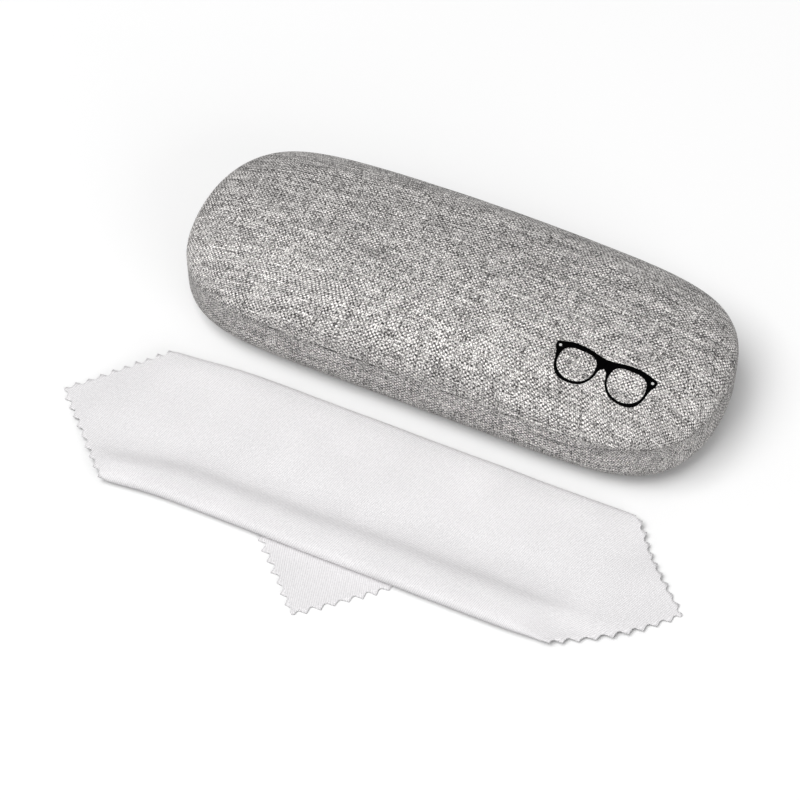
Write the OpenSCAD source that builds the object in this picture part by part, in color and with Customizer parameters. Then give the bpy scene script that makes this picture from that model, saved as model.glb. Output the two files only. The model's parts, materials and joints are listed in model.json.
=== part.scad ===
// Hard clamshell glasses case covered in linen-look fabric, with a folded cleaning cloth.
// +X runs along the case, the case opens towards -Y and hinges at +Y, and +Z is up.
// The origin is the middle of the flat underside.

/* [Case] */
// Length of the case over the fabric
case_l = 160; // [150:1:170]
// Width of the case over the fabric
case_w = 64; // [60:1:68]
// Height of the parting line above the underside
base_h = 18.4; // [17:0.2:22]
// Height of the lid's crown above the parting line
lid_h = 15; // [14:0.2:18]
// How sharply the ends turn into the long sides, as a superellipse power
end_power = 7.4; // [6:0.1:9]
// How full the ends are across the width, as a superellipse power
side_power = 2.1; // [2:0.05:2.4]

/* [Lid shape] */
// Shoulder radius of the lid
lid_r = 11.8; // [10:0.1:13]
// Lean of the lid's wall, in degrees
lid_draft = 6.3; // [4:0.1:8]
// Drop of the lid's crown from its middle to its ends
crown_drop_x = 9.2; // [6:0.1:10]
// Drop of the lid's crown from its middle to its long sides
crown_drop_y = 4.6; // [3:0.1:5]

/* [Base shape] */
// Radius round the underside
base_r = 9.7; // [8:0.1:12]
// Lean of the base's wall, in degrees
base_draft = 0.7; // [0.2:0.1:2]

/* [Layers] */
// Outer fabric
cover_t = 0.6; // [0.4:0.05:0.7]
// Foam sheet under the fabric
foam_t = 0.6; // [0.4:0.05:0.7]
// Pressed steel shell
steel_t = 0.5; // [0.4:0.05:0.6]
// Flocked lining tray
lining_t = 0.9; // [0.7:0.1:1.2]
// Air between two layers
layer_gap = 0.06; // [0.05:0.01:0.08]
// Open gap at the parting line
seam_gap = 0.3; // [0.2:0.05:0.5]
// Depth that the fabric turns in over the rim
turn_in = 4; // [3:0.5:6]

/* [Hinge] */
// How far the lid opens, in degrees
open_angle = 105; // [90:1:105]
// Number of knuckles along the hinge, an odd number
knuckles = 9; // [7:2:9]
// Length of one knuckle's share of the pin
knuckle_pitch = 7.6; // [6:0.1:7.6]
// Radius of the hinge pin
pin_r = 0.6; // [0.5:0.05:0.65]
// Thickness of the hinge leaves
leaf_t = 0.6; // [0.5:0.05:0.6]
// Radial clearance of the pin in the lid's knuckles
pin_play = 0.05; // [0.03:0.01:0.08]
// Lean of the lid's hinge leaf, in degrees
lid_leaf_lean = 16.5; // [16:0.5:17]
// Lean of the base's hinge leaf, in degrees
base_leaf_lean = 1; // [0.8:0.1:1.2]

/* [Cleaning cloth] */
// Side of the square cloth when it is spread out
cloth_side = 131; // [120:1:135]
// Middle of the folded cloth in front of the case's middle
cloth_y = -62.5; // [-70:0.5:-60]
// Distance from the cloth's diagonal to its rear fold
cloth_rear = 25.5; // [20:0.5:26]
// Distance from the cloth's diagonal to its front fold
cloth_front = 23; // [20:0.5:26]
// Height of the folded cloth
cloth_t = 4.2; // [2:0.2:5]

/* [Hidden] */
cut = 0.01;             // how far a cutting shape runs past the face it opens
half_l = case_l / 2;
half_w = case_w / 2;

// Insets of the layers from the outside of the fabric
foam_in = cover_t + layer_gap;
steel_in = foam_in + foam_t + layer_gap;
leg_in = steel_in + steel_t + layer_gap;
leg_t = cover_t - 0.1;          // the turned fabric is pressed thinner
lining_in = 3.6;
flange_in = leg_in + leg_t + layer_gap;
flange_t = 0.8;
rim_t = cover_t;
sheet_start = rim_t + 0.1;   // where foam and steel begin, under the fabric's turned rim

// Hinge
barrel_r = pin_r + pin_play + leaf_t;
leaf_seat = barrel_r - 0.03;   // inner face of the leaves, just inside the barrel's skin
pin_inset = barrel_r + 0.15;
pin_y = half_w - pin_inset;
pin_z = base_h;
groove_r = 2.45;             // room for the rims to swing past each other
groove_l = 120;
hinge_l = knuckles * knuckle_pitch;
knuckle_gap = 0.15;
base_leaf_h = 8.6;
lid_leaf_h = 5.15;
leaf_clear_r = barrel_r + 0.2;
cam_r = 1.65;
cam_places = [1, knuckles - 2];
cam_clear_r = cam_r + 0.15;
spring_w = 6;
spring_t = 0.3;
spring_low = 8;
spring_face = barrel_r + layer_gap;
rivet_r = 1;
rivet_play = 0.05;
rivet_head_r = 1.3;
rivet_head_t = 0.35;
leaf_rivet_x = hinge_l / 2 - 3;
base_rivet_z = 6;
lid_rivet_z = 3.7;
leaf_rivets = [-leaf_rivet_x, 0, leaf_rivet_x];
base_rivet_start = steel_in + 0.15 - pin_inset;   // within the base's steel, inwards from the pin
lid_rivet_start = -0.2;                           // within the lid's steel, on the leaning leaf
tape_t = 0.5;
spine_in_r = barrel_r + 0.12;
spine_angle = 60;
spine_l = 112;
inner_tape_l = hinge_l;
inner_tape_t = 0.3;
inner_tape_face = spring_face + spring_t + 0.2;
inner_tape_low = 4;
inner_tape_high = 1.7;

// How finely the curved skins are drawn
side_steps = 5;
end_steps = 6;
arc_steps = 5;
quarter_steps = side_steps + end_steps;
side_share = 0.8;
plateau_scales = [0.62, 0.3];

fabric_grey = [0.64, 0.63, 0.62];
foam_white = [0.93, 0.92, 0.88];
steel_grey = [0.55, 0.56, 0.58];
bright_steel = [0.74, 0.75, 0.77];
lining_black = [0.07, 0.07, 0.08];
cloth_white = [0.93, 0.93, 0.94];

// ---- Plan outline: |x|^end_power + |y|^side_power = 1, as shares of the half length and half width ----
function across(x) = pow(1 - pow(x, end_power), 1 / side_power);
function along(y) = pow(1 - pow(y, side_power), 1 / end_power);
function quarter_point(k) =
    k <= side_steps
    ? let (x = side_share * sin(90 * k / side_steps)) [x, across(x)]
    : let (y = across(side_share) * cos(90 * (k - side_steps) / end_steps)) [along(y), y];
function plan_point(k) =
    let (turn = floor(k / quarter_steps), step = k % quarter_steps)
    turn == 0 ? quarter_point(step)
    : turn == 1 ? let (p = quarter_point(quarter_steps - step)) [p.x, -p.y]
    : turn == 2 ? let (p = quarter_point(step)) [-p.x, -p.y]
    : let (p = quarter_point(quarter_steps - step)) [-p.x, p.y];
plan_steps = 4 * quarter_steps;
plan = [for (k = [0 : plan_steps - 1]) plan_point(k)];

// ---- Dished skins. A dish is [half's direction, rim height, depth, radius, draft, drops along and across] ----
lid_dish = [1, base_h + seam_gap / 2, lid_h - seam_gap / 2, lid_r, lid_draft, crown_drop_x, crown_drop_y];
base_dish = [-1, base_h - seam_gap / 2, base_h - seam_gap / 2, base_r, base_draft, 0, 0];

function arc_centre(dish) =
    let (rise = dish[2] - dish[3] + dish[3] * sin(dish[4]))
    rise * tan(dish[4]) + dish[3] * cos(dish[4]);
function arc_point(dish, inset, angle) = [
    arc_centre(dish) - (dish[3] - inset) * cos(angle),
    dish[2] - dish[3] + (dish[3] - inset) * sin(angle)
];
function wall_inset(dish, inset, height) =
    let (top = arc_point(dish, inset, dish[4])) top.x - (top.y - height) * tan(dish[4]);

// Rings of one skin from its rim to its middle, each [inset, height, scale]
function skin(dish, inset, start) = concat(
    [[wall_inset(dish, inset, start), start, 1]],
    [for (k = [0 : arc_steps])
        let (p = arc_point(dish, inset, dish[4] + (90 - dish[4]) * k / arc_steps)) [p.x, p.y, 1]],
    [for (share = dish[5] > 0 ? plateau_scales : []) [arc_centre(dish), dish[2] - inset, share]]
);
function backwards(list) = [for (k = [len(list) - 1 : -1 : 0]) list[k]];

function dish_height(dish, x, y, height) =
    let (drop = dish[5] * pow(x / half_l, 2) + dish[6] * pow(y / half_w, 2))
    dish[1] + dish[0] * height * (1 - drop / dish[2]);
function ring_points(dish, ring) = [
    for (p = plan)
        let (x = p.x * (half_l - ring[0]) * ring[2], y = p.y * (half_w - ring[0]) * ring[2])
        [x, y, dish_height(dish, x, y, ring[1])]
];

// One closed thin solid: rings run from the outer middle over the rim to the inner middle.
// Facets of the outer and the inner skin are split the same way, so that nested layers stay apart.
module dished_solid(dish, rings) {
    count = len(rings);
    outer_rows = len(skin(dish, 0, 0));
    flat_middle = dish[5] == 0;
    points = concat(
        [for (ring = rings) each ring_points(dish, ring)],
        [[0, 0, dish_height(dish, 0, 0, rings[0][1])],
         [0, 0, dish_height(dish, 0, 0, rings[count - 1][1])]]
    );
    first = count * plan_steps;
    bands = [
        for (row = [0 : count - 2], k = [0 : plan_steps - 1])
            let (next = (k + 1) % plan_steps, a = row * plan_steps, b = a + plan_steps)
            each row < outer_rows
                ? [[a + k, a + next, b + next], [a + k, b + next, b + k]]
                : [[a + k, a + next, b + k], [a + next, b + next, b + k]]
    ];
    outer_middle = flat_middle
        ? [[for (k = [plan_steps - 1 : -1 : 0]) k]]
        : [for (k = [0 : plan_steps - 1]) [first, (k + 1) % plan_steps, k]];
    last = (count - 1) * plan_steps;
    inner_middle = flat_middle
        ? [[for (k = [0 : plan_steps - 1]) last + k]]
        : [for (k = [0 : plan_steps - 1]) [first + 1, last + k, last + (k + 1) % plan_steps]];
    faces = concat(outer_middle, bands, inner_middle);
    polyhedron(
        points = flat_middle ? [for (k = [0 : first - 1]) points[k]] : points,
        faces = dish[0] > 0 ? [for (f = faces) backwards(f)] : faces
    );
}

// A plain sheet between two insets
module sheet(dish, outer, inner, start) {
    dished_solid(dish, concat(backwards(skin(dish, outer, start)), skin(dish, inner, start)));
}

// The fabric, turned in over the rim
module cover_solid(dish) {
    turned = wall_inset(dish, leg_in + leg_t, turn_in);
    tucked = wall_inset(dish, leg_in, turn_in);
    dished_solid(dish, concat(
        backwards(skin(dish, 0, 0)),
        [[leg_in + leg_t, 0, 1], [turned, turn_in, 1], [tucked, turn_in, 1],
         [wall_inset(dish, leg_in, rim_t), rim_t, 1]],
        skin(dish, cover_t, rim_t)
    ));
}

// The lining tray, with a flange that closes the gap to the turned fabric
module lining_solid(dish) {
    dished_solid(dish, concat(
        backwards(skin(dish, lining_in, flange_t)),
        [[wall_inset(dish, flange_in, flange_t), flange_t, 1], [wall_inset(dish, flange_in, 0), 0, 1]],
        skin(dish, lining_in + lining_t, 0)
    ));
}

// ---- Hinge helpers ----
module along_x(length) {
    rotate([90, 0, 90]) linear_extrude(height = length, center = true) children();
}

module at_pin() {
    translate([0, pin_y, pin_z]) children();
}

module swing_groove() {
    at_pin() rotate([0, 90, 0]) cylinder(h = groove_l, r = groove_r, center = true, $fn = 48);
}

// Room for the leaves and springs, cut from the turned fabric and the trays' flanges
module hinge_room() {
    height = turn_in + seam_gap;
    deep = lining_in + layer_gap;
    translate([-(hinge_l / 2 + 1), half_w - deep, pin_z - height])
        cube([hinge_l + 2, deep - leg_in + layer_gap, 2 * height]);
}

module rivet_hole() {
    rotate([90, 0, 0])
        cylinder(h = 2 * lining_in, r = rivet_r + rivet_play, center = true, $fn = 32);
}

// Rivet with its shank from the steel shell to its head, both measured inwards from the pin
module rivet(from, to) {
    rotate([90, 0, 0]) {
        translate([0, 0, from]) cylinder(h = to - from + cut, r = rivet_r, $fn = 32);
        translate([0, 0, to]) cylinder(h = rivet_head_t, r = rivet_head_r, $fn = 32);
    }
}

function knuckle_x(place) = (place - (knuckles - 1) / 2) * knuckle_pitch;
base_places = [0 : 2 : knuckles - 1];
lid_places = [1 : 2 : knuckles - 1];
spring_x = [knuckle_x(cam_places[0]), knuckle_x(cam_places[1])];

module knuckle(place) {
    translate([knuckle_x(place), 0, 0]) rotate([0, 90, 0])
        cylinder(h = knuckle_pitch - knuckle_gap, r = barrel_r, center = true, $fn = 48);
}

module pin_bore() {
    rotate([0, 90, 0])
        cylinder(h = hinge_l + 2, r = pin_r + pin_play, center = true, $fn = 48);
}

// Two flats that meet the snap springs with the lid shut and with the lid open
module cam_lobe(place) {
    translate([knuckle_x(place), 0, 0]) along_x(spring_w)
        intersection() {
            circle(r = cam_r, $fn = 48);
            translate([-leaf_seat, -cam_r]) square([leaf_seat - leaf_seat * cos(open_angle), cam_r]);
            rotate(open_angle - 180) translate([-cam_r, -cam_r]) square([cam_r + leaf_seat, 2 * cam_r]);
        }
}

// Leaf plate below the pin, with windows round the other leaf's knuckles
module leaf_plate(height, windows, window_h) {
    difference() {
        translate([-hinge_l / 2, -leaf_seat, -height]) cube([hinge_l, leaf_t, height]);
        for (place = windows)
            translate([knuckle_x(place) - knuckle_pitch / 2, -leaf_seat - cut, -window_h])
                cube([knuckle_pitch, leaf_t + 2 * cut, window_h + cut]);
    }
}

// ---- Base ----
module base_cover() {
    color(fabric_grey) difference() {
        cover_solid(base_dish);
        swing_groove();
        hinge_room();
    }
}

module base_foam() {
    color(foam_white) difference() {
        sheet(base_dish, foam_in, foam_in + foam_t, sheet_start);
        swing_groove();
    }
}

module base_shell() {
    color(steel_grey) difference() {
        sheet(base_dish, steel_in, steel_in + steel_t, sheet_start);
        swing_groove();
        base_rivet_places(concat(leaf_rivets, spring_x)) rivet_hole();
    }
}

module base_lining() {
    color(lining_black) difference() {
        lining_solid(base_dish);
        hinge_room();
    }
}

// Places its children on the base's leaf, which leans with the base's wall
module on_base_leaf() {
    at_pin() rotate([-base_leaf_lean, 0, 0]) children();
}

module base_rivet_places(places) {
    on_base_leaf()
        for (x = places) translate([x, 0, -base_rivet_z]) children();
}

module base_hinge_leaf() {
    color(bright_steel) difference() {
        union() {
            on_base_leaf() leaf_plate(base_leaf_h, lid_places, cam_clear_r);
            at_pin() for (place = base_places) knuckle(place);
        }
        at_pin() pin_bore();
        base_rivet_places(concat(leaf_rivets, spring_x)) rivet_hole();
    }
}

module base_leaf_rivets() {
    color(bright_steel) base_rivet_places(leaf_rivets)
        rivet(base_rivet_start, barrel_r + layer_gap / 2);
}

module spring_rivets() {
    color(bright_steel) base_rivet_places(spring_x)
        rivet(base_rivet_start, spring_face + spring_t + layer_gap / 2);
}

module hinge_pin() {
    color(bright_steel) at_pin() rotate([0, 90, 0])
        cylinder(h = hinge_l + 1, r = pin_r, center = true, $fn = 48);
}

// Flat spring riveted to the base's leaf, with its free end on the lid's cam knuckle
module snap_spring(x) {
    color(bright_steel) difference() {
        on_base_leaf() translate([x - spring_w / 2, -spring_face - spring_t, -spring_low])
            cube([spring_w, spring_t, spring_low]);
        base_rivet_places([x]) rivet_hole();
    }
}

module left_snap_spring() {
    snap_spring(spring_x[0]);
}

module right_snap_spring() {
    snap_spring(spring_x[1]);
}

// Fabric over the hinge's barrel, seen from behind
module spine_tape() {
    reach = 2 * groove_r;
    color(fabric_grey) at_pin() along_x(spine_l) intersection() {
        difference() {
            circle(r = spine_in_r + tape_t, $fn = 64);
            circle(r = spine_in_r, $fn = 64);
        }
        polygon([
            [0, 0],
            [reach * cos(spine_angle), -reach * sin(spine_angle)],
            [2 * reach, 0],
            [reach * cos(spine_angle), reach * sin(spine_angle)]
        ]);
    }
}

// Lining tape tucked behind both trays, hiding the hinge from inside
module inner_hinge_tape() {
    color(lining_black) at_pin()
        translate([-inner_tape_l / 2, -inner_tape_face - inner_tape_t, -inner_tape_low])
            cube([inner_tape_l, inner_tape_t, inner_tape_low + inner_tape_high]);
}

// ---- Lid ----
module lid_cover() {
    color(fabric_grey) difference() {
        cover_solid(lid_dish);
        swing_groove();
        hinge_room();
    }
}

module lid_foam() {
    color(foam_white) difference() {
        sheet(lid_dish, foam_in, foam_in + foam_t, sheet_start);
        swing_groove();
    }
}

module lid_shell() {
    color(steel_grey) difference() {
        sheet(lid_dish, steel_in, steel_in + steel_t, sheet_start);
        swing_groove();
        lid_rivet_places() rivet_hole();
    }
}

module lid_lining() {
    color(lining_black) difference() {
        lining_solid(lid_dish);
        hinge_room();
    }
}

// Places its children on the lid's leaf, which leans with the lid's wall
module on_lid_leaf() {
    at_pin() rotate([lid_leaf_lean, 0, 0]) children();
}

module lid_rivet_places() {
    on_lid_leaf()
        for (x = leaf_rivets) translate([x, 0, lid_rivet_z]) children();
}

module lid_hinge_leaf() {
    color(bright_steel) difference() {
        union() {
            on_lid_leaf() mirror([0, 0, 1]) leaf_plate(lid_leaf_h, base_places, leaf_clear_r);
            at_pin() for (place = lid_places) knuckle(place);
            at_pin() for (place = cam_places) cam_lobe(place);
        }
        at_pin() pin_bore();
        lid_rivet_places() rivet_hole();
    }
}

module lid_leaf_rivets() {
    color(bright_steel) lid_rivet_places()
        rivet(lid_rivet_start, barrel_r + layer_gap / 2);
}

// ---- Cleaning cloth: a square folded under along two lines beside its diagonal ----
module cleaning_cloth() {
    tip = cloth_side / sqrt(2);
    rear_x = tip - cloth_rear;
    front_x = tip - cloth_front;
    flap_x = tip - cloth_rear - cloth_rear - cloth_front;
    color(cloth_white) translate([0, cloth_y, 0]) {
        linear_extrude(height = cloth_t) polygon([
            [-tip, 0], [-front_x, -cloth_front], [front_x, -cloth_front],
            [tip, 0], [rear_x, cloth_rear], [-rear_x, cloth_rear]
        ]);
        linear_extrude(height = cloth_t / 4) polygon([
            [-flap_x, -cloth_front + cut], [0, -cloth_front - flap_x], [flap_x, -cloth_front + cut]
        ]);
    }
}

base_cover();
base_foam();
base_shell();
base_lining();
base_hinge_leaf();
base_leaf_rivets();
hinge_pin();
left_snap_spring();
right_snap_spring();
spring_rivets();
spine_tape();
inner_hinge_tape();
lid_cover();
lid_foam();
lid_shell();
lid_lining();
lid_hinge_leaf();
lid_leaf_rivets();
cleaning_cloth();
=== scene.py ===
"""Visual model of a hard glasses case and its folded cleaning cloth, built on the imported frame.

Lengths are millimetres until a mesh is made, and the studio is laid out in metres. +X runs along the
case and -Y is its front.
"""
import json
import math

import bpy
import numpy as np
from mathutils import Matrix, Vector
from mathutils.bvhtree import BVHTree


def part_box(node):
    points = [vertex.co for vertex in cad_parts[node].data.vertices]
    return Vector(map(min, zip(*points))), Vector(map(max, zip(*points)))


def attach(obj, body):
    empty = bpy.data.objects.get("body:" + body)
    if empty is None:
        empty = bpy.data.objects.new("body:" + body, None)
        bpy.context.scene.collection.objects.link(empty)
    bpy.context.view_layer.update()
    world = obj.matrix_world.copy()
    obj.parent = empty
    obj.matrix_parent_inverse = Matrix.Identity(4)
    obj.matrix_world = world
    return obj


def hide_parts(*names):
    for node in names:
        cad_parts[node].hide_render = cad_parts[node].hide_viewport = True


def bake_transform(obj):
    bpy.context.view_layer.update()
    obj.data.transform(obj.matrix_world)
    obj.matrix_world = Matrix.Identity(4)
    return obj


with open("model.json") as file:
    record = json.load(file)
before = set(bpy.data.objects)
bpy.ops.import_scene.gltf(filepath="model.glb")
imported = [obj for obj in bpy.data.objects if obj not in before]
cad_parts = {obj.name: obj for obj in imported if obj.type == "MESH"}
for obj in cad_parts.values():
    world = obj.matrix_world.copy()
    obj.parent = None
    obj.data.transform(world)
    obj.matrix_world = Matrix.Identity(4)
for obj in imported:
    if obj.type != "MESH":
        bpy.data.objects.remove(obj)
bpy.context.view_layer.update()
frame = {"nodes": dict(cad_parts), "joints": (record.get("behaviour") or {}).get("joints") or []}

MM = 0.001

# ---- Sizes taken from the frame ----
base_low, base_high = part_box("base_cover")
lid_low, lid_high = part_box("lid_cover")
hinge = next(joint for joint in frame["joints"] if joint["name"] == "lid_hinge")
PIN_Y = hinge["pos_m"][1] / MM
SEAM_Z = hinge["pos_m"][2] / MM
HALF_L = base_high.x / MM
HALF_W = -base_low.y / MM
LID_H = lid_high.z / MM - SEAM_Z
SEAM_GAP = 2 * (lid_low.z / MM - SEAM_Z)
HINGE_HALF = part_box("base_hinge_leaf")[1].x / MM
SPINE_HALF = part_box("spine_tape")[1].x / MM

# ---- Shape of the case, as in the CAD ----
# The plan is a superellipse with one power for each axis
END_POWER = 7.4
SIDE_POWER = 2.1
# Which way a half is dished, its depth and shoulder radius, the lean of its wall in degrees, how far its
# crown drops at the ends and at the sides, and how far its fabric's face wanders up and down
LID = {"up": 1, "depth": LID_H - SEAM_GAP / 2, "radius": 11.8, "lean": 6.3, "drop": (9.2, 4.6),
       "wander": 0.05}
BASE = {"up": -1, "depth": SEAM_Z - SEAM_GAP / 2, "radius": 9.7, "lean": 0.7, "drop": (0, 0),
        "wander": 0.0}
COVER_T = 0.6
LEG_IN = 1.88           # inset of the fabric's turned-in leg
LEG_T = 0.5
TURN_IN = 4             # how far the leg reaches from the rim
LINING_IN = 3.6
LINING_T = 0.9
LIP_R = 0.5             # rounding of the lining's inner edge
FLANGE_IN = 2.44        # inset of the lining's flange
FLANGE_T = 0.8
GROOVE_R = 2.45         # room round the pin
LINING_GROOVE = 0.5     # how far the lining's rim draws back along the hinge
SPINE_R = 1.65          # how far the spine's fabric lies behind the pin
SPINE_T = 0.5
SPINE_TURN = 78         # degrees it reaches above and below the pin's level
SPINE_TUCK = 5          # how far it goes in under the covers at each end
SPINE_DIVE = 0.7        # share by which its ends close towards the pin
DIVE_RUN = 9            # length over which they do
TAPE_T = 0.3
TAPE_BELOW = 4.0        # how far the inner tape reaches below the pin
TAPE_ABOVE = 1.7

# ---- Looks ----
THREAD = 0.6            # pitch of the case's weave
TAPE_THREAD = 0.4
LOOP = 0.62             # pitch of the cleaning cloth's knit
HIGHLIGHT_BAND = 19.2        # how far in front of the case's middle the painted highlight on its fabric is strongest
BACKDROP = 0.97         # brightness of the plain ground behind everything
WORLD_LIGHT = 0.36

# ---- Steps of the meshes ----
PLAN_STEPS = 288
ARC_STEPS = 18
WALL_STEPS = 6
PLATEAU_STEPS = 16
STRIP_STEPS = 160


# ---- Mesh helpers ----
def make_object(name, points, faces, material, weave=None):
    """A mesh object from points in millimetres, with its weave coordinates if it has any."""
    mesh = bpy.data.meshes.new(name)
    mesh.from_pydata([tuple(p) for p in np.asarray(points) * MM], [], faces)
    mesh.update()
    if weave is not None:
        attribute = mesh.attributes.new("weave", "FLOAT_VECTOR", "POINT")
        attribute.data.foreach_set("vector", np.asarray(weave, np.float32).ravel())
    mesh.polygons.foreach_set("use_smooth", [True] * len(mesh.polygons))
    mesh.materials.append(material)
    made = bpy.data.objects.new(name, mesh)
    bpy.context.scene.collection.objects.link(made)
    return made


def grid_faces(rows, columns, closed=False):
    """Quads of a grid whose points are numbered row by row."""
    last = columns if closed else columns - 1
    faces = []
    for row in range(rows - 1):
        for k in range(last):
            after = (k + 1) % columns
            a, b = row * columns, (row + 1) * columns
            faces.append((a + k, a + after, b + after, b + k))
    return faces


def fade(value, full, none):
    """1 up to `full`, 0 from `none` on, and smooth between."""
    t = np.clip((np.asarray(value, float) - full) / (none - full), 0, 1)
    return 1 - t * t * (3 - 2 * t)


def ripple(x, y, scale, seed):
    """Smooth wandering of about -1 to 1 from a few crossed waves."""
    maker = np.random.default_rng(seed)
    total = np.zeros(np.broadcast(x, y).shape)
    for _ in range(6):
        turn = maker.uniform(0, 2 * math.pi)
        start = maker.uniform(0, 2 * math.pi)
        stretch = maker.uniform(0.7, 1.5)
        run = x * math.cos(turn) + y * math.sin(turn)
        total += np.sin(run * stretch * 2 * math.pi / scale + start)
    return total / 3


# ---- The case's dished skins ----
def plan_outline():
    """Shares of half length and half width round the plan, evenly spaced along it."""
    turn = np.linspace(0, math.pi / 2, 4001)
    x = np.cos(turn) ** (2 / END_POWER)
    y = np.sin(turn) ** (2 / SIDE_POWER)
    run = np.concatenate([[0], np.cumsum(np.hypot(np.diff(x * HALF_L), np.diff(y * HALF_W)))])
    even = np.linspace(0, run[-1], PLAN_STEPS // 4 + 1)
    quarter = np.c_[np.interp(even, run, x), np.interp(even, run, y)]
    quarter[-1, 0] = 0
    back = quarter[:-1]
    left = (quarter[::-1] * [-1, 1])[:-1]
    return np.vstack([back, left, -back, -left])


PLAN = plan_outline()


def plan_normals():
    """Outward directions at the plan's points."""
    x = np.sign(PLAN[:, 0]) * np.abs(PLAN[:, 0]) ** (END_POWER - 1) * END_POWER / HALF_L
    y = np.sign(PLAN[:, 1]) * np.abs(PLAN[:, 1]) ** (SIDE_POWER - 1) * SIDE_POWER / HALF_W
    return np.c_[x, y] / np.hypot(x, y)[:, None]


NORMALS = plan_normals()


def arc_centre(half):
    """Inset of the middle of the shoulder's arc."""
    lean = math.radians(half["lean"])
    rise = half["depth"] - half["radius"] + half["radius"] * math.sin(lean)
    return rise * math.tan(lean) + half["radius"] * math.cos(lean)


def arc_point(half, inset, degrees):
    """(inset, height) on the shoulder of the skin that lies `inset` inside the fabric."""
    turn = math.radians(degrees)
    radius = half["radius"] - inset
    return (arc_centre(half) - radius * math.cos(turn),
            half["depth"] - half["radius"] + radius * math.sin(turn))


def wall_inset(half, inset, height):
    """Inset at a height on the leaning wall of the skin that lies `inset` inside the fabric."""
    top_inset, top_height = arc_point(half, inset, half["lean"])
    return top_inset - (top_height - height) * math.tan(math.radians(half["lean"]))


def skin_rows(half, inset, start):
    """Rows of a skin from its rim to its middle, each (inset, height, scale)."""
    top = arc_point(half, inset, half["lean"])[1]
    wall = [(wall_inset(half, inset, h), h, 1) for h in np.linspace(start, top, WALL_STEPS)[:-1]]
    arc = [(*arc_point(half, inset, a), 1) for a in np.linspace(half["lean"], 90, ARC_STEPS)]
    shares = np.linspace(1, 0, PLATEAU_STEPS + 1)[1:-1]
    plateau = [(arc_centre(half), half["depth"] - inset, share) for share in shares]
    return wall + arc + plateau


def groove_zone(x, y):
    """1 along the back where the rims give way to the hinge, 0 elsewhere."""
    behind = (y > 0) * fade(-y, -HALF_W * 0.7, -HALF_W * 0.5)
    return fade(np.abs(x), SPINE_HALF - 3, SPINE_HALF + 4) * behind


def hinge_zone(x, y):
    """1 along the back where the hinge leaves sit, 0 elsewhere."""
    return fade(np.abs(x), HINGE_HALF + 0.5, HINGE_HALF + 2) * (y > 0)


def place_row(half, row, relief):
    """Points of one row in millimetres. `relief` is how far the rim draws back at the hinge."""
    inset, height, share = row
    x = PLAN[:, 0] * (HALF_L - inset) * share
    y = PLAN[:, 1] * (HALF_W - inset) * share
    drop = half["drop"][0] * (x / HALF_L) ** 2 + half["drop"][1] * (y / HALF_W) ** 2
    drawn = relief * groove_zone(x, y) * np.clip(1 - height / (3 * GROOVE_R), 0, 1)
    level = (height + drawn) * (1 - drop / half["depth"])
    return np.c_[x, y, SEAM_Z + half["up"] * (SEAM_GAP / 2 + level)]


def weave_rows(rows, points):
    """Thread coordinates: flat on the crown and laid out along the surface beyond it."""
    shoulder = max(k for k, row in enumerate(rows) if row[2] == 1)
    coordinates = points.copy()
    coordinates[:, :, 2] = 0
    run = np.zeros(PLAN_STEPS)
    for k in range(shoulder - 1, -1, -1):
        run = run + np.linalg.norm(points[k] - points[k + 1], axis=1)
        coordinates[k, :, :2] = points[shoulder, :, :2] + NORMALS * run[:, None]
    return coordinates


def closed_shell(name, half, outer, inner, material, relief, soften):
    """A thin closed piece from `outer` and `inner` rows, each from rim to middle, joined at the rim."""
    rows = outer[::-1] + inner
    points = np.array([place_row(half, row, relief) for row in rows])
    points = soften(rows, points, len(outer))
    weave = np.concatenate([
        weave_rows(outer, points[:len(outer)][::-1])[::-1],
        weave_rows(inner, points[len(outer):])
    ])
    centres = []
    for row in (outer[-1], inner[-1]):
        centres.append([0, 0, SEAM_Z + half["up"] * (SEAM_GAP / 2 + row[1])])
    flat = np.vstack([points.reshape(-1, 3), centres])
    count = len(rows) * PLAN_STEPS
    faces = grid_faces(len(rows), PLAN_STEPS, closed=True)
    last = count - PLAN_STEPS
    for k in range(PLAN_STEPS):
        after = (k + 1) % PLAN_STEPS
        faces.append((after, k, count))
        faces.append((last + k, last + after, count + 1))
    if half["up"] > 0:
        faces = [tuple(reversed(face)) for face in faces]
    threads = np.vstack([weave.reshape(-1, 3), [[0, 0, 0], [0, 0, 0]]])
    return make_object(name, flat, faces, material, threads)


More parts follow.
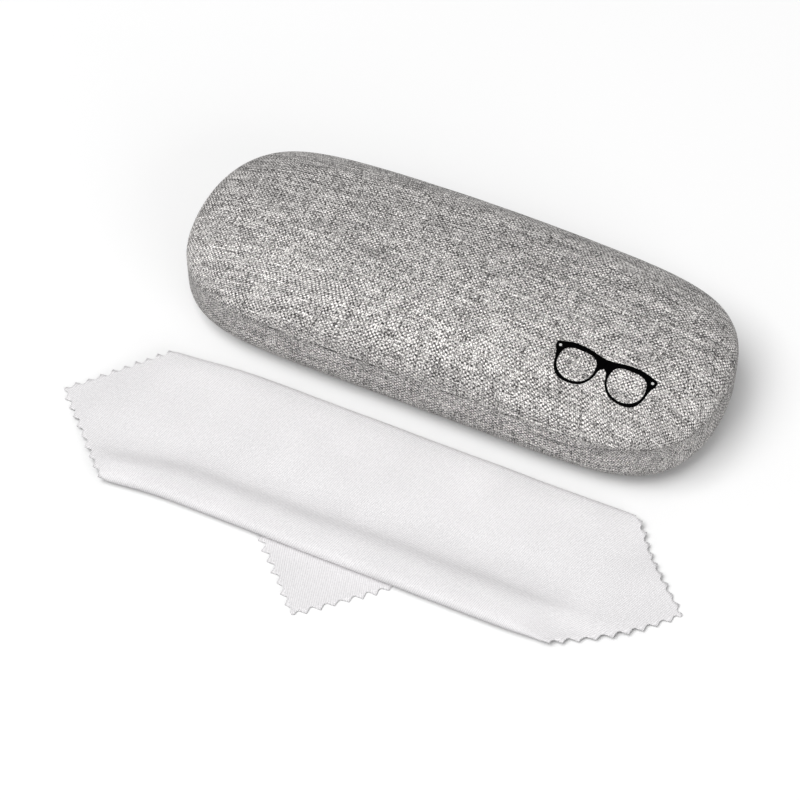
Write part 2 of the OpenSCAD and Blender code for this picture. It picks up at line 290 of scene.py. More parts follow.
# ---- Materials ----
class Shader:
    """A Principled material with short calls for the nodes that feed it."""

    def __init__(self, name):
        self.material = bpy.data.materials.new(name)
        self.material.use_nodes = True
        self.tree = self.material.node_tree
        self.tree.nodes.clear()
        self.surface = self.add("ShaderNodeBsdfPrincipled")
        out = self.add("ShaderNodeOutputMaterial")
        self.tree.links.new(self.surface.outputs[0], out.inputs["Surface"])

    def add(self, kind, **settings):
        node = self.tree.nodes.new(kind)
        for key, value in settings.items():
            setattr(node, key, value)
        return node

    def put(self, socket, value):
        if isinstance(value, bpy.types.NodeSocket):
            self.tree.links.new(value, socket)
        elif isinstance(value, tuple) and len(value) == 3 and socket.type == "RGBA":
            socket.default_value = (*value, 1)
        else:
            socket.default_value = value

    def set(self, **inputs):
        for key, value in inputs.items():
            self.put(self.surface.inputs[key.replace("_", " ")], value)

    def math(self, operation, *values, clamp=False):
        node = self.add("ShaderNodeMath", operation=operation, use_clamp=clamp)
        for k, value in enumerate(values):
            self.put(node.inputs[k], value)
        return node.outputs[0]

    def join(self, x=0.0, y=0.0, z=0.0):
        node = self.add("ShaderNodeCombineXYZ")
        for k, value in enumerate((x, y, z)):
            self.put(node.inputs[k], value)
        return node.outputs[0]

    def noise(self, vector, scale=1.0, detail=2.0, roughness=0.5):
        node = self.add("ShaderNodeTexNoise")
        self.put(node.inputs["Vector"], vector)
        node.inputs["Scale"].default_value = scale
        node.inputs["Detail"].default_value = detail
        node.inputs["Roughness"].default_value = roughness
        return node.outputs["Fac"]

    def mix(self, share, a, b):
        node = self.add("ShaderNodeMix", data_type="RGBA")
        self.put(node.inputs["Factor"], share)
        self.put(node.inputs[6], a)
        self.put(node.inputs[7], b)
        return node.outputs[2]

    def choose(self, share, a, b):
        node = self.add("ShaderNodeMix", data_type="FLOAT")
        self.put(node.inputs["Factor"], share)
        self.put(node.inputs[2], a)
        self.put(node.inputs[3], b)
        return node.outputs[0]

    def remap(self, value, low, high, to_low=0.0, to_high=1.0, smooth=False):
        node = self.add("ShaderNodeMapRange", clamp=True)
        node.interpolation_type = "SMOOTHSTEP" if smooth else "LINEAR"
        for k, one in enumerate((value, low, high, to_low, to_high)):
            self.put(node.inputs[k], one)
        return node.outputs[0]

    def bump(self, height, strength, distance):
        node = self.add("ShaderNodeBump")
        self.put(node.inputs["Height"], height)
        node.inputs["Strength"].default_value = strength
        node.inputs["Distance"].default_value = distance * MM
        return node.outputs[0]

    def weave(self, pitch):
        """The weave attribute in threads, as separate along and across values."""
        source = self.add("ShaderNodeAttribute", attribute_name="weave")
        parts = self.add("ShaderNodeSeparateXYZ")
        self.tree.links.new(source.outputs["Vector"], parts.inputs[0])
        return self.math("DIVIDE", parts.outputs[0], pitch), self.math("DIVIDE", parts.outputs[1], pitch)

    def place(self):
        """Object coordinates in millimetres."""
        source = self.add("ShaderNodeTexCoord")
        node = self.add("ShaderNodeVectorMath", operation="SCALE")
        self.tree.links.new(source.outputs["Object"], node.inputs[0])
        node.inputs["Scale"].default_value = 1 / MM
        return node.outputs[0]


def plain_weave(shader, pitch, loose=1.0):
    """Plain weave: which thread is on top, the relief, and (u, v, column, row) in threads."""
    u, v = shader.weave(pitch)

    def wander(seed, jitter):
        """How far threads stray, in threads: slowly over many of them, and quickly by `jitter`."""
        slow = shader.noise(shader.join(u, v, seed), 0.06, 2)
        quick = shader.noise(shader.join(u, v, seed + 20.0), 0.45, 2, 0.6)
        wide = shader.math("MULTIPLY", slow, 2.4 * loose)
        return shader.math("ADD", wide, shader.math("MULTIPLY", quick, jitter * loose))

    stray_u = wander(0.0, 0.75)
    stray_v = wander(7.0, 1.0)
    u = shader.math("ADD", u, stray_u)
    v = shader.math("ADD", v, stray_v)
    column = shader.math("FLOOR", u)
    row = shader.math("FLOOR", v)
    over = shader.math("PINGPONG", shader.math("ADD", column, row), 1.0)
    along = shader.math("SUBTRACT", shader.math("FRACT", u), 0.5)
    across = shader.math("SUBTRACT", shader.math("FRACT", v), 0.5)

    def hump(value, steep):
        """1 at a thread's middle line, falling off on both sides."""
        square = shader.math("MULTIPLY", value, value)
        return shader.math("SUBTRACT", 1.0, shader.math("MULTIPLY", square, steep))

    def crest(cross, run):
        """Height of the thread on top, from the places across it and along it."""
        return shader.math("MULTIPLY", hump(cross, 3.0), hump(run, 1.9))

    relief = shader.choose(over, crest(along, across), crest(across, along))
    return over, relief, (u, v, column, row)


def linen():
    """Grey melange plain weave: pale threads across the case, darker ones with slubs along it."""
    shader = Shader("linen_fabric")
    over, relief, (u, v, column, row) = plain_weave(shader, THREAD)

    def streaks(run, thread, length, width, seed):
        """Noise that is drawn out along the threads."""
        along = shader.math("MULTIPLY", run, 1 / length)
        across = shader.math("MULTIPLY", thread, 1 / width)
        return shader.noise(shader.join(along, across, seed), 1, 2, 0.6)

    # Each thread's own tone, then the loose fibres that blur it
    pale = shader.remap(streaks(v, column, 7.0, 0.3, 5.0), 0.34, 0.62, 0.33, 1.10)
    dark = shader.remap(streaks(u, row, 7.0, 0.3, 0.0), 0.34, 0.66, -0.12, 0.60)
    fibre = shader.remap(shader.noise(shader.join(u, v, 3.0), 1.6, 1, 0.6), 0.3, 0.7, -0.66, 0.66)
    mixed = shader.math("ADD", shader.choose(over, pale, dark), fibre, clamp=True)
    yarn = shader.mix(mixed, (0.031, 0.027, 0.026), (0.93, 0.90, 0.88))
    # Slubs are fewer in a band along the front of the crown, where a highlight is also painted
    band = shader.math("ABSOLUTE", shader.math("ADD", v, HIGHLIGHT_BAND / THREAD))
    slub = shader.remap(streaks(u, v, 26.0, 0.6, 9.0), 0.48, 0.70)
    slub = shader.math("MULTIPLY", slub, shader.remap(band, 5.0, 55.0, 0.35, 0.90))
    bright = shader.remap(streaks(v, u, 14.0, 0.8, 15.0), 0.52, 0.72, 1.0, 1.10)
    line = shader.remap(streaks(u, row, 28.0, 0.3, 21.0), 0.3, 0.7, 0.70, 1.30)
    patch = shader.remap(shader.noise(shader.join(u, v), 0.03, 2), 0.3, 0.7, 0.93, 1.07)
    # Painted shade in the gaps between threads, darkest where they cross; the tones and the painted
    # highlight below are multiplied into it
    shade = shader.remap(relief, 0.10, 0.56)
    # Painted highlight: the fabric's colour is made paler along that band
    painted_highlight = shader.remap(band, 5.0, 50.0, 1.12, 1.0)
    for layer in (shader.math("SUBTRACT", 1.0, slub), bright, line, patch, painted_highlight):
        shade = shader.math("MULTIPLY", shade, layer)
    scaled = shader.add("ShaderNodeVectorMath", operation="SCALE")
    shader.put(scaled.inputs[0], yarn)
    shader.put(scaled.inputs["Scale"], shade)
    shader.set(Base_Color=scaled.outputs[0], Roughness=0.8, Normal=shader.bump(relief, 0.8, 0.14))
    shader.set(Sheen_Weight=0.12, Sheen_Roughness=0.5)
    return shader.material


def ink():
    """Black transfer print that keeps the relief of the weave under it."""
    shader = Shader("motif_ink")
    _, relief, (u, v, *_) = plain_weave(shader, THREAD)
    wear = shader.noise(shader.join(u, v), 1.7, 3, 0.7)
    colour = shader.mix(shader.remap(wear, 0.55, 0.8), (0.0004, 0.0004, 0.0005), (0.002, 0.002, 0.0022))
    shader.set(Base_Color=colour, Roughness=shader.remap(wear, 0.3, 0.7, 0.6, 0.75))
    shader.set(Specular_IOR_Level=0.02, Normal=shader.bump(relief, 0.35, 0.06))
    return shader.material


def ink_dot():
    """Pale rivet marks in the print, the fabric's lighter tone."""
    shader = Shader("motif_dot")
    grain = shader.noise(shader.place(), 3.0, 3, 0.6)
    shader.set(Base_Color=shader.mix(grain, (0.48, 0.48, 0.47), (0.74, 0.74, 0.73)), Roughness=0.8)
    return shader.material


def microfibre():
    """White fine-knit cloth: rows of small loops with a soft nap."""
    shader = Shader("microfibre")
    u, v = shader.weave(LOOP)
    nap = shader.noise(shader.join(u, v), 0.9, 3, 0.7)
    u = shader.math("ADD", u, shader.math("MULTIPLY", nap, 0.5))

    def wave(run):
        """One rise and fall for each loop."""
        return shader.math("SINE", shader.math("MULTIPLY", run, 2 * math.pi))

    loops = shader.math("MULTIPLY", wave(u), wave(shader.math("ADD", v, shader.math("MULTIPLY", u, 0.5))))
    cloudy = shader.noise(shader.join(u, v), 0.03, 2)
    relief = shader.math("ADD", shader.math("MULTIPLY", loops, 0.5), nap)
    # Painted shade: the knit is darker in its loops' valleys and where the nap lies low, with cloudy
    # patches on top
    tone = shader.remap(shader.math("ADD", relief, shader.math("MULTIPLY", cloudy, 0.4)), 0.1, 1.3)
    shader.set(Base_Color=shader.mix(tone, (0.60, 0.59, 0.60), (0.95, 0.935, 0.945)), Roughness=0.92)
    shader.set(Normal=shader.bump(relief, 0.7, 0.10), Sheen_Weight=0.2, Sheen_Roughness=0.4)
    return shader.material


def flock():
    """Black flocking: short fibres that catch light at a glancing angle."""
    shader = Shader("flocked_lining")
    fine = shader.noise(shader.place(), 6.0, 4, 0.8)
    brushed = shader.noise(shader.place(), 0.12, 2)
    tone = shader.math("ADD", shader.math("MULTIPLY", fine, 0.6), shader.math("MULTIPLY", brushed, 0.4))
    tone = shader.remap(tone, 0.35, 0.65)
    shader.set(Base_Color=shader.mix(tone, (0.010, 0.010, 0.012), (0.034, 0.034, 0.038)))
    shader.set(Roughness=0.95, Sheen_Weight=0.6, Sheen_Roughness=0.35, Sheen_Tint=(0.75, 0.76, 0.8))
    shader.set(Normal=shader.bump(fine, 0.5, 0.08))
    return shader.material


def tape_cloth():
    """Black plain-woven tape."""
    shader = Shader("lining_tape")
    _, relief, _ = plain_weave(shader, TAPE_THREAD, loose=0.2)
    # Painted shade: the threads' crowns are lighter and the gaps between them darker
    painted_weave_shade = shader.remap(relief, 0.1, 0.8)
    shader.set(Base_Color=shader.mix(painted_weave_shade, (0.006, 0.006, 0.007), (0.035, 0.035, 0.038)))
    shader.set(Roughness=0.85, Normal=shader.bump(relief, 0.6, 0.08), Sheen_Weight=0.3)
    return shader.material


def steel(name, dark, light, stretch):
    """Rolled steel: fine lines along one way, and cloudy plating."""
    shader = Shader(name)
    place = shader.add("ShaderNodeVectorMath", operation="MULTIPLY")
    shader.put(place.inputs[0], shader.place())
    place.inputs[1].default_value = stretch
    lines = shader.noise(place.outputs[0], 1.0, 4, 0.7)
    cloud = shader.noise(shader.place(), 0.25, 3)
    shader.set(Base_Color=shader.mix(cloud, dark, light), Metallic=1.0)
    shader.set(Roughness=shader.remap(lines, 0.3, 0.7, 0.28, 0.5), Normal=shader.bump(lines, 0.2, 0.03))
    return shader.material


def foam():
    """Closed-cell foam sheet with fine pores."""
    shader = Shader("foam_sheet")
    pores = shader.add("ShaderNodeTexVoronoi")
    shader.put(pores.inputs["Vector"], shader.place())
    pores.inputs["Scale"].default_value = 2.2
    hole = shader.remap(pores.outputs["Distance"], 0.1, 0.5)
    # Painted shade in the pores: each is darkest at its middle
    shader.set(Base_Color=shader.mix(hole, (0.62, 0.60, 0.55), (0.84, 0.82, 0.77)), Roughness=0.9)
    shader.set(Normal=shader.bump(hole, 0.5, 0.1))
    return shader.material


def floor_paint():
    """Pale studio floor that throws only part of its light back up, as if under dark flags.

    Far from the case it runs out into the backdrop's own tone.
    """
    shader = Shader("floor")
    tone = shader.noise(shader.place(), 0.004, 2)
    seen = shader.add("ShaderNodeLightPath").outputs["Is Camera Ray"]
    far = shader.add("ShaderNodeVectorMath", operation="LENGTH")
    shader.put(far.inputs[0], shader.place())
    share = shader.math("MULTIPLY", seen, shader.remap(far.outputs["Value"], 300, 1500, smooth=True))
    pale = shader.mix(tone, (0.93, 0.93, 0.93), (0.95, 0.95, 0.95))
    near = shader.mix(seen, (0.5, 0.5, 0.5), pale)
    shader.set(Base_Color=shader.mix(share, near, (0.0, 0.0, 0.0)), Roughness=0.9)
    shader.set(Emission_Color=(1.0, 1.0, 1.0), Emission_Strength=shader.math("MULTIPLY", share, BACKDROP))
    return shader.material


LINEN = linen()
INK = ink()
DOT = ink_dot()
MICROFIBRE = microfibre()
FLOCK = flock()
TAPE = tape_cloth()
STEEL = steel("steel_sheet", (0.36, 0.37, 0.39), (0.50, 0.51, 0.53), (0.2, 6.0, 6.0))
ZINC = steel("hinge_steel", (0.55, 0.56, 0.58), (0.70, 0.71, 0.73), (0.3, 8.0, 8.0))
FOAM = foam()


# ---- Covers and linings ----
def build_cover(name, half, node, body):
    """Outer fabric: smooth skin, rolled rim and a leg turned in behind it."""
    roll = LEG_IN + LEG_T
    relief = math.sqrt(GROOVE_R ** 2 - (HALF_W - PIN_Y) ** 2) - SEAM_GAP / 2
    outer = skin_rows(half, 0, start=0.45)
    # Round the rim: a soft roll from the wall to the level edge and another from there to the leg
    rim = [
        (wall_inset(half, 0, 0.25) + 0.03, 0.22, 1),
        (wall_inset(half, 0, 0) + 0.14, 0.08, 1),
        (wall_inset(half, 0, 0) + 0.36, 0, 1),
        (roll - 0.3, 0, 1),
        (roll - 0.08, 0.08, 1),
        (roll, 0.3, 1),
    ]
    leg = [
        (wall_inset(half, roll, TURN_IN), TURN_IN, 1),
        (wall_inset(half, LEG_IN, TURN_IN), TURN_IN, 1),
        (wall_inset(half, LEG_IN, COVER_T), COVER_T, 1),
    ]
    inner = rim + leg + skin_rows(half, COVER_T, start=COVER_T)
    first_leg = len(outer) + len(rim)

    def soften(rows, points, outer_count):
        """Shortens the leg behind the hinge leaves and lets the fabric's face wander a little."""
        for k in range(first_leg, first_leg + 2):
            short = (rows[k][0], COVER_T + 0.05, 1)
            zone = hinge_zone(points[k][:, 0], points[k][:, 1])[:, None]
            points[k] = points[k] * (1 - zone) + place_row(half, short, relief) * zone
        for k in range(outer_count):
            x, y = points[k][:, 0], points[k][:, 1]
            calm = min(1, rows[k][1] / 3)
            points[k][:, 2] += half["wander"] * calm * ripple(x, y, 24, 5)
        return points

    cover = closed_shell(name, half, outer, inner, LINEN, relief, soften)
    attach(cover, body)
    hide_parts(node)
    return cover


def build_tray(name, half, node, body):
    """Flocked lining: rounded rim, flange over the turned fabric and a smooth hollow."""
    face = LINING_IN + LINING_T
    under = skin_rows(half, LINING_IN, start=FLANGE_T + 0.1)
    rim = [
        (wall_inset(half, FLANGE_IN, FLANGE_T) + 0.1, FLANGE_T, 1),
        (wall_inset(half, FLANGE_IN, FLANGE_T / 2), FLANGE_T / 2, 1),
        (wall_inset(half, FLANGE_IN, 0) + 0.2, 0.05, 1),
    ]
    lip = []
    for turn in np.radians(np.linspace(90, 0, 6)):
        lip.append((face - LIP_R + LIP_R * math.cos(turn), LIP_R - LIP_R * math.sin(turn), 1))
    inner = rim + lip + skin_rows(half, face, start=0.7)

    def soften(rows, points, outer_count):
        """Cuts the flange back where the hinge leaves and springs stand."""
        for k in range(outer_count, outer_count + len(rim)):
            back = (wall_inset(half, LINING_IN, rows[k][1]), rows[k][1], 1)
            zone = hinge_zone(points[k][:, 0], points[k][:, 1])[:, None]
            points[k] = points[k] * (1 - zone) + place_row(half, back, LINING_GROOVE) * zone
        return points

    tray = closed_shell(name, half, under, inner, FLOCK, LINING_GROOVE, soften)
    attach(tray, body)
    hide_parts(node)


def build_strip(name, section, half_length, thick, material, node, dive=0.0):
    """A closed strip along the back from a section of (y, z) points.

    It follows the bow of the outline, and its ends close towards the pin by `dive`.
    """
    section = np.asarray(section, float)
    step = np.gradient(section, axis=0)
    side = np.c_[step[:, 1], -step[:, 0]] / np.linalg.norm(step, axis=1)[:, None]
    loop = np.vstack([section + side * thick / 2, (section - side * thick / 2)[::-1]])
    run = np.concatenate([[0], np.cumsum(np.linalg.norm(np.diff(loop, axis=0), axis=1))])
    xs = np.linspace(-half_length, half_length, STRIP_STEPS)
    points, weave = [], []
    for x in xs:
        narrow = 1 - dive * (1 - fade(abs(x), half_length - DIVE_RUN, half_length))
        bow = HALF_W * (1 - (1 - (abs(x) / HALF_L) ** END_POWER) ** (1 / SIDE_POWER))
        ring = np.array([PIN_Y - bow, SEAM_Z]) + (loop - [PIN_Y, SEAM_Z]) * narrow
        points.append(np.c_[np.full(len(loop), x), ring])
        weave.append(np.c_[np.full(len(loop), x), run, np.zeros(len(loop))])
    count = len(loop)
    faces = grid_faces(STRIP_STEPS, count, closed=True)
    faces.append(tuple(reversed(range(count))))
    faces.append(tuple(range((STRIP_STEPS - 1) * count, STRIP_STEPS * count)))
    strip = make_object(name, np.vstack(points), faces, material, np.vstack(weave))
    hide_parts(node)
    return strip


def ring_section(radius, first, last, steps=31):
    """Points round the pin at `radius`, from one angle to another."""
    turns = np.radians(np.linspace(first, last, steps))
    return np.c_[PIN_Y + radius * np.cos(turns), SEAM_Z + radius * np.sin(turns)]


def bend_at_pin(strip):
    """Bakes the strip's placement into its mesh, without bending it."""
    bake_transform(strip)


lid_fabric = build_cover("lid_fabric", LID, "lid_cover", "lid")
build_cover("base_fabric", BASE, "base_cover", "base")
build_tray("lid_tray", LID, "lid_lining", "lid")
build_tray("base_tray", BASE, "base_lining", "base")

spine = build_strip("spine_fabric", ring_section(SPINE_R, -SPINE_TURN, SPINE_TURN), SPINE_HALF + SPINE_TUCK,
                    SPINE_T, LINEN, "spine_tape", dive=SPINE_DIVE)
bend_at_pin(spine)

tape_z = np.linspace(SEAM_Z - TAPE_BELOW, SEAM_Z + TAPE_ABOVE, 25)
tape_y = np.full(len(tape_z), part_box("inner_hinge_tape")[0].y / MM + TAPE_T / 2)
inner_tape = build_strip("inner_tape", np.c_[tape_y, tape_z], HINGE_HALF, TAPE_T, TAPE, "inner_hinge_tape")
bend_at_pin(inner_tape)


# ---- Motif printed on the lid ----
MOTIF_AT = (49.2, -16.4)    # its middle on the lid
MOTIF_TURN = math.radians(1.8)
MOTIF_LEAN = 0.024          # how far it leans to the left for each millimetre below its brow
LENS = (7.3, 0.1)           # middle of a lens from the motif's middle
LENS_HALF_W = 5.25
LENS_RISE = 4.65
LENS_DROP = 4.88
# Right half of the motif's outline, as curves through these points from its middle and back to it
BROW = [(0, 5.1), (2.4, 5.4), (4.8, 6.0), (7.4, 6.3), (9.8, 6.3), (12.2, 5.75), (14.3, 5.1)]
CORNER = [(14.3, 5.1), (14.65, 4.4), (14.4, 3.1), (13.9, 2.2)]
RIM = [(13.9, 2.2), (13.5, 0.9), (12.9, -1.9), (11.7, -4.1), (9.9, -5.25), (7.4, -5.55), (5.0, -5.1),
       (3.15, -3.95), (1.85, -1.95), (1.25, 0.3), (0.8, 1.5), (0, 2.1)]
BRIDGE = [(0, 2.1), (0, 3.6), (0, 5.1)]
FILM_LIFT = 0.05            # height of the print's middle above the fabric
FILM_T = 0.06
DOT_AT = (13.4, 4.0)
DOT_R = 0.42
DOT_LIFT = 0.09             # height of a dot's edge above the fabric
DOT_RISE = 0.05


def curve_through(points, steps=8):
    """A smooth open curve through a few points."""
    points = np.asarray(points, float)
    padded = np.vstack([2 * points[0] - points[1], points, 2 * points[-1] - points[-2]])
    made = []
    for k in range(1, len(padded) - 2):
        before, a, b, after = padded[k - 1:k + 3]
        for t in np.arange(steps) / steps:
            made.append(0.5 * (2 * a + (b - before) * t + (2 * before - 5 * a + 4 * b - after) * t ** 2
                               + (3 * a - before - 3 * b + after) * t ** 3))
    return np.array(made + [points[-1]])


def lens_radius(turn):
    """Edge of the lens opening from its middle: squarer above than below."""
    power = np.where(np.sin(turn) > 0, 3, 2)
    half_h = np.where(np.sin(turn) > 0, LENS_RISE, LENS_DROP)
    across, up = np.abs(np.cos(turn)) / LENS_HALF_W, np.abs(np.sin(turn)) / half_h
    return (across ** power + up ** power) ** (-1 / power)


def on_lid(tree, x, y, lift):
    """The point `lift` above the lid's fabric over (x, y)."""
    hit, normal, _, _ = tree.ray_cast(Vector((x * MM, y * MM, 0.1)), Vector((0, 0, -1)))
    return np.array(hit / MM + normal * lift)


def place_motif(points):
    """Plan positions on the lid of points in the motif's own frame."""
    c, s = math.cos(MOTIF_TURN), math.sin(MOTIF_TURN)
    below = points[:, 1:] - BROW[0][1]
    return np.asarray(MOTIF_AT) + (points + below * [MOTIF_LEAN, 0]) @ [[c, s], [-s, c]]


def build_motif(fabric):
    """A generic pair of glasses: thick brow line, thin rims, and a pale dot at each hinge."""
    tree = BVHTree.FromObject(fabric, bpy.context.evaluated_depsgraph_get())
    edge = np.vstack([curve_through(part) for part in (BROW, CORNER, RIM, BRIDGE)]) - LENS
    edge_turn = -np.unwrap(np.arctan2(edge[:, 1], edge[:, 0]))
    rays, rings = 240, 5
    turns = edge_turn[0] + np.arange(rays) * 2 * math.pi / rays
    reach = np.interp(turns, edge_turn, np.hypot(edge[:, 0], edge[:, 1]))
    hole = lens_radius(-turns)
    lens = []
    for share in np.linspace(0, 1, rings):
        radius = hole + (reach - hole) * share
        lens.append(np.c_[LENS[0] + radius * np.cos(-turns), LENS[1] + radius * np.sin(-turns)])
    right = np.vstack(lens)
    plan = place_motif(np.vstack([right, right * [-1, 1]]))
    faces = grid_faces(rings, rays, closed=True)
    mirrored = [tuple(k + len(right) for k in reversed(face)) for face in faces]
    points = [on_lid(tree, x, y, FILM_LIFT) for x, y in plan]
    film = make_object("lid_motif", points, faces + mirrored, INK, np.c_[plan, np.zeros(len(plan))])
    solid = film.modifiers.new("film", "SOLIDIFY")
    solid.thickness = FILM_T * MM
    solid.offset = 0
    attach(film, "lid")
    for side in (-1, 1):
        build_dot(tree, side)


def build_dot(tree, side):
    """Small raised dot of pale print at one hinge of the motif."""
    middle = np.array(DOT_AT) * [side, 1]
    rings, rays = 4, 20
    turns = np.arange(rays) * 2 * math.pi / rays
    points = []
    for k in range(rings):
        radius = DOT_R * math.sin(math.pi / 2 * (1 - k / rings))
        lift = DOT_LIFT + DOT_RISE * k / rings
        ring = place_motif(middle + radius * np.c_[np.cos(turns), np.sin(turns)])
        points += [on_lid(tree, x, y, lift) for x, y in ring]
    faces = grid_faces(rings, rays, closed=True)
    faces.append(tuple(range((rings - 1) * rays, rings * rays)))
    faces.append(tuple(reversed(range(rays))))
    dot = make_object(("left" if side < 0 else "right") + "_motif_dot", points, faces, DOT)
    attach(dot, "lid")


build_motif(lid_fabric)


# ---- Cleaning cloth ----
CLOTH_SIDE = 131.0
CLOTH_Y = -62.5         # where its diagonal lies
REAR_FOLD = 24.6        # how far the folded cloth reaches behind its diagonal
FRONT_FOLD = 23.0
CLOTH_CELLS = 180
TOOTH_CELLS = 5         # cells from tip to tip of the pinked edge
TOOTH_DEPTH = 1.7
CLOTH_T = 0.36
# Heights of the layers' middles, and the radius of the hidden bend where the front flap comes out again
LAYER_TOP = 3.9
LAYER_MIDDLE = 1.0
LAYER_LOW = 0.2
TUCK_R = 0.2
TUCK_SHORT = 1.0        # how far that bend starts short of the rear fold's
STRAY_REACH = 9.0       # how far round its place each of the strays below is felt
# How far the hand-folded cloth strays from a true fold: (place, shift) from its middle
STRAYS = [
    ((-67.5, 24.5), (-1.0, -1.8)), ((67.5, 24.5), (2.0, 0.8)), ((69.6, -23.0), (-5.6, 0.9)),
    ((-69.6, -23.0), (1.2, -1.6)), ((-92.6, 0.0), (0.0, -0.4)), ((92.6, 0.0), (0.0, 1.7)),
    ((0.0, -41.0), (-1.5, -0.4)), ((-18.0, -26.0), (-1.8, 0.0)),
]
# Height of the upper layer across the strip: a rolled front edge, a valley and a fuller rear
SWELL = [(-23, 0.0), (-19.5, 0.6), (-16.8, 0.75), (-14.2, 0.0), (-11.6, -1.35), (-9.3, -2.05), (-6, -2.25),
         (-2, -2.0), (4, -1.3), (12, -0.3), (19, 0.4), (23, 0.2), (25.5, 0.0)]


def fold_under(run, start, top, radius):
    """A bend that begins at `start` and turns a layer at height `top` under itself.

    It gives (reach, height, share of the top layer) for a line of cloth `run` past `start`.
    """
    turn = run / radius
    if turn < math.pi:
        return start + radius * math.sin(turn), top - radius * (1 - math.cos(turn)), math.cos(turn / 2) ** 2
    return start - (run - math.pi * radius), top - 2 * radius, 0


def fold_section(t):
    """Where a line of the cloth `t` behind its diagonal lands: (y, z, share of the top layer)."""
    rear_r = (LAYER_TOP - LAYER_LOW) / 2
    front_r = (LAYER_TOP - LAYER_MIDDLE) / 2
    rear_start = REAR_FOLD - rear_r
    front_start = FRONT_FOLD - front_r
    tuck_start = rear_start - TUCK_SHORT
    if t > rear_start:
        return fold_under(t - rear_start, rear_start, LAYER_TOP, rear_r)
    if t > -front_start:
        return t, LAYER_TOP, 1
    reach, z, top = fold_under(-t - front_start, front_start, LAYER_TOP, front_r)
    if -reach > tuck_start:
        reach, z, _ = fold_under(-reach - tuck_start, tuck_start, LAYER_MIDDLE, TUCK_R)
        return reach, z, 0
    return -reach, z, top


def tooth(run):
    """How far a pinked edge stands out, `run` cells along it from its middle: a zigzag."""
    share = run / TOOTH_CELLS
    return TOOTH_DEPTH * (0.5 - 2 * np.abs(share - np.round(share)))


def pinked(a, b, cell):
    """The square's grid lines `a` and `b` with their outermost ones cut into teeth."""
    edge_a, edge_b = np.abs(a) > (CLOTH_SIDE - cell) / 2, np.abs(b) > (CLOTH_SIDE - cell) / 2
    uneven = 1 + 0.25 * ripple(a, b, 11, 21)
    deepest = -0.9 * cell
    stand_a = np.sign(a) * np.maximum(tooth(b / cell) * uneven, deepest)
    stand_b = np.sign(b) * np.maximum(tooth(a / cell) * uneven, deepest)
    return a + np.where(edge_a & ~edge_b, stand_a, 0), b + np.where(edge_b & ~edge_a, stand_b, 0)


def swell_up(x, y, z, top):
    """Heights with the soft body of the upper layer, whose valley sways and runs forward on the left."""
    swell = curve_through(SWELL)
    sway = 1 + 0.5 * np.sin(x / 24) - 4.5 * (1 - fade(-x, 40, 84))
    body = np.interp(y - sway * fade(np.abs(y + 9), 6, 13), swell[:, 0], swell[:, 1])
    soft = 0.20 * ripple(x, y, 46, 11) + 0.05 * ripple(x, y, 13, 12)
    return z + top * (fade(np.abs(x), 68, 92) * body + soft)


def sink_ends(x, y, z):
    """Heights with the thin corners at both ends sunk to the table, where they curl a little."""
    ends = 1 - fade(np.where(x < 0, -x, x + 2), np.where(x < 0, 62, 48), 88)
    sag = np.clip(ends * z / LAYER_TOP, 0, 1)
    level = 0.25 + 0.4 * (1 + ripple(x, y, 27, 13)) * fade(np.abs(x), 80, 91)
    return z * (1 - sag) + level * sag


def build_cloth():
    """The square cloth with pinked edges, folded under along two lines beside its diagonal."""
    count = CLOTH_CELLS + 1
    cell = CLOTH_SIDE / CLOTH_CELLS
    line = (np.arange(count) - CLOTH_CELLS / 2) * cell
    a, b = np.meshgrid(line, line, indexing="ij")
    cut_a, cut_b = pinked(a, b, cell)
    x = ((cut_a - cut_b) / math.sqrt(2)).ravel()
    behind = ((cut_a + cut_b) / math.sqrt(2)).ravel()
    y, z, top = np.array([fold_section(t) for t in behind]).T
    z = sink_ends(x, y, swell_up(x, y, z, top))
    for (place_x, place_y), (shift_x, shift_y) in STRAYS:
        near = np.exp(-((x - place_x) ** 2 + (y - place_y) ** 2) / (2 * STRAY_REACH ** 2))
        x, y = x + near * shift_x, y + near * shift_y
    # The sheet's underside stays just above the table
    z = np.maximum(z, CLOTH_T / 2 + 0.02)
    faces = grid_faces(count, count)
    weave = np.c_[a.ravel(), b.ravel(), np.zeros(a.size)]
    cloth = make_object("folded_cloth", np.c_[x, CLOTH_Y + y, z], faces, MICROFIBRE, weave)
    solid = cloth.modifiers.new("thickness", "SOLIDIFY")
    solid.thickness = CLOTH_T * MM
    solid.offset = 0
    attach(cloth, "cloth")
    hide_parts("cleaning_cloth")


build_cloth()

# ---- Carried-over CAD nodes ----
HINGE_PARTS = ("base_hinge_leaf", "base_leaf_rivets", "hinge_pin", "left_snap_spring", "right_snap_spring",
               "spring_rivets", "lid_hinge_leaf", "lid_leaf_rivets")
CARRIED = ((FOAM, ("base_foam", "lid_foam")), (STEEL, ("base_shell", "lid_shell")), (ZINC, HINGE_PARTS))
for material, nodes in CARRIED:
    for node in nodes:
        materials = frame["nodes"][node].data.materials
        materials.clear()
        materials.append(material)


# ---- Studio ----
def build_floor():
    """A wide floor just below the pieces, so that their undersides don't flicker against it."""
    mesh = bpy.data.meshes.new("floor")
    reach = 4.0
    mesh.from_pydata([(-reach, -reach, 0), (reach, -reach, 0), (reach, reach, 0), (-reach, reach, 0)], [],
                     [(0, 1, 2, 3)])
    mesh.materials.append(floor_paint())
    floor = bpy.data.objects.new("floor", mesh)
    bpy.context.scene.collection.objects.link(floor)
    floor.location.z = -0.2 * MM


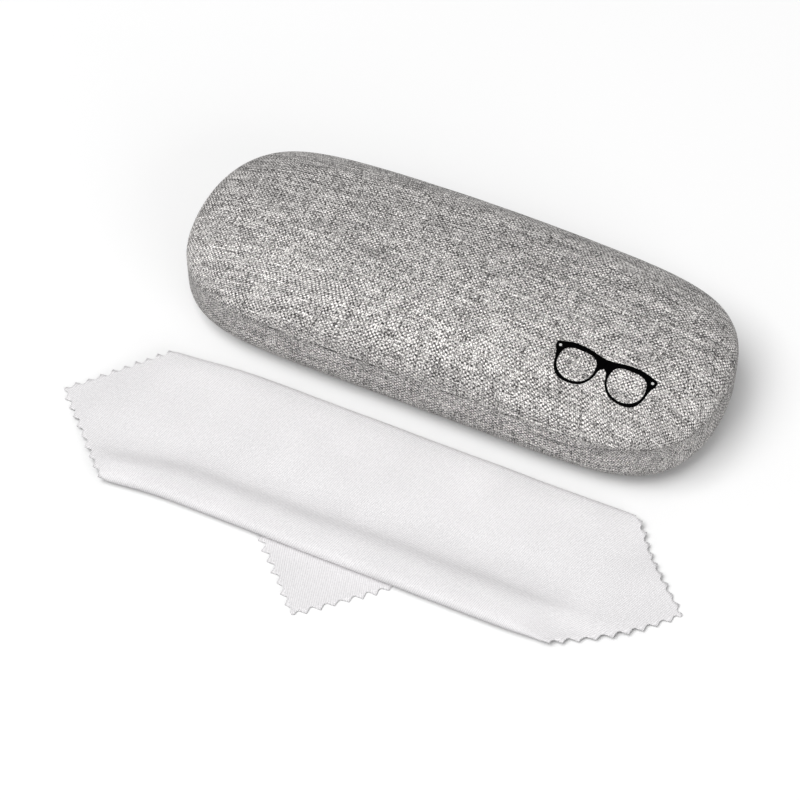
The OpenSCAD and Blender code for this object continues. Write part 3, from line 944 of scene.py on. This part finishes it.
def area_light(name, direction, distance, size, power):
    """A soft square light that faces the case from `direction`."""
    data = bpy.data.lights.new(name, "AREA")
    data.size = size
    data.energy = power
    lamp = bpy.data.objects.new(name, data)
    way = Vector(direction).normalized()
    lamp.location = way * distance
    lamp.rotation_mode = "QUATERNION"
    lamp.rotation_quaternion = way.to_track_quat("Z", "Y")
    bpy.context.scene.collection.objects.link(lamp)


def build_world(strength):
    """Even white light from all round, seen by the camera as a plain pale backdrop."""
    world = bpy.data.worlds.new("studio")
    world.use_nodes = True
    tree = world.node_tree
    background = tree.nodes["Background"]
    background.inputs["Color"].default_value = (1, 1, 1, 1)
    seen = tree.nodes.new("ShaderNodeLightPath")
    level = tree.nodes.new("ShaderNodeMapRange")
    level.inputs["To Min"].default_value = strength
    level.inputs["To Max"].default_value = BACKDROP
    tree.links.new(seen.outputs["Is Camera Ray"], level.inputs["Value"])
    tree.links.new(level.outputs["Result"], background.inputs["Strength"])
    bpy.context.scene.world = world


def build_camera(azimuth, elevation, distance, across, above, view_share):
    """Camera that faces the case's middle at the height of its parting line.

    It is then slid to the left by `across` and down by `above` millimetres, without turning.
    """
    a, e = math.radians(azimuth), math.radians(elevation)
    back = Vector((math.sin(a) * math.cos(e), -math.cos(a) * math.cos(e), math.sin(e)))
    right = Vector((math.cos(a), math.sin(a), 0))
    up = back.cross(right)
    camera = bpy.data.cameras.new("camera")
    camera.sensor_width = 36
    camera.lens = camera.sensor_width * view_share
    camera.clip_start, camera.clip_end = 0.05, 20
    made = bpy.data.objects.new("camera", camera)
    made.location = Vector((0, 0, SEAM_Z * MM)) + back * distance - right * across * MM - up * above * MM
    made.rotation_mode = "QUATERNION"
    made.rotation_quaternion = back.to_track_quat("Z", "Y")
    bpy.context.scene.collection.objects.link(made)
    bpy.context.scene.camera = made


build_floor()
build_world(WORLD_LIGHT)
area_light("key", direction=(-0.25, -0.35, 0.90), distance=3.0, size=2.2, power=74)
area_light("fill", direction=(0.80, -0.5, 0.30), distance=3.0, size=2.0, power=28)
build_camera(azimuth=24.93, elevation=52.6, distance=0.913, across=16.56, above=28.58, view_share=4.094)
bpy.context.scene.view_settings.view_transform = "Standard"
